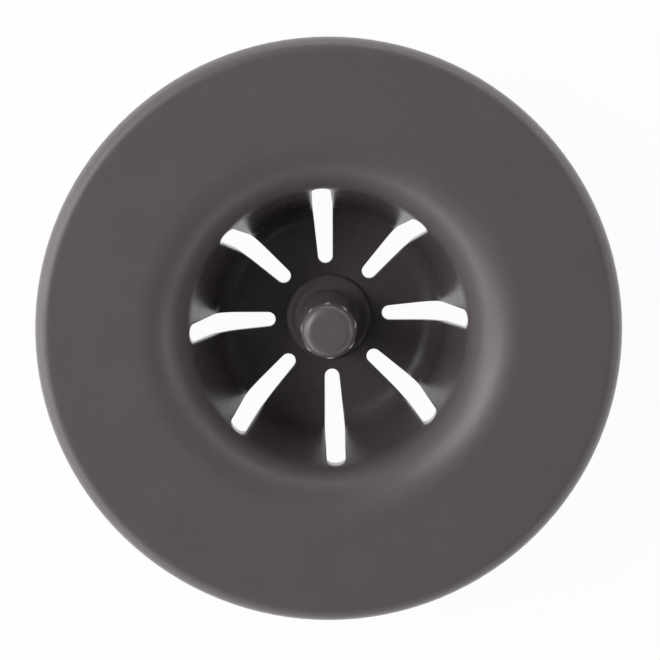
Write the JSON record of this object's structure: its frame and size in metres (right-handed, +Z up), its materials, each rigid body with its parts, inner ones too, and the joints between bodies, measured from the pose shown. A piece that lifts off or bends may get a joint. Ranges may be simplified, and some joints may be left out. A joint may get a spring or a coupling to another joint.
{
  "type": "drain strainer",
  "caption": "Soft round drain strainer: flat sealing flange with a rounded rim, leaning basket with radial slots through floor and wall, and a central grip knob on a low foot.",
  "frame": {"origin": "centre of the basket floor's underside, on the surface that the strainer stands on", "axes": "+Z up along the strainer's round axis, from the floor towards the flange; slots lie along X, Y and the diagonals between them"},
  "size_m": [0.114, 0.114, 0.0308],
  "materials": {
    "silicone": "satin charcoal silicone, finely matted by the mould",
    "knob": "charcoal moulded plastic, semi-gloss with a polished edge"
  },
  "bodies": {
    "flange": {"sealing_flange": "silicone", "basket_wall": "silicone"},
    "basket": {"basket_floor": "silicone", "grip_knob": "knob", "knob_backing_plug": "knob"}
  },
  "joints": [
    {"name": "basket_turn_out", "type": "slide", "parent": "flange", "child": "basket", "axis": [0, 0, 1], "range_m": [0, 0.0433], "stiffness_N_per_m": 400, "deforming": ["basket_wall"]}
  ]
}
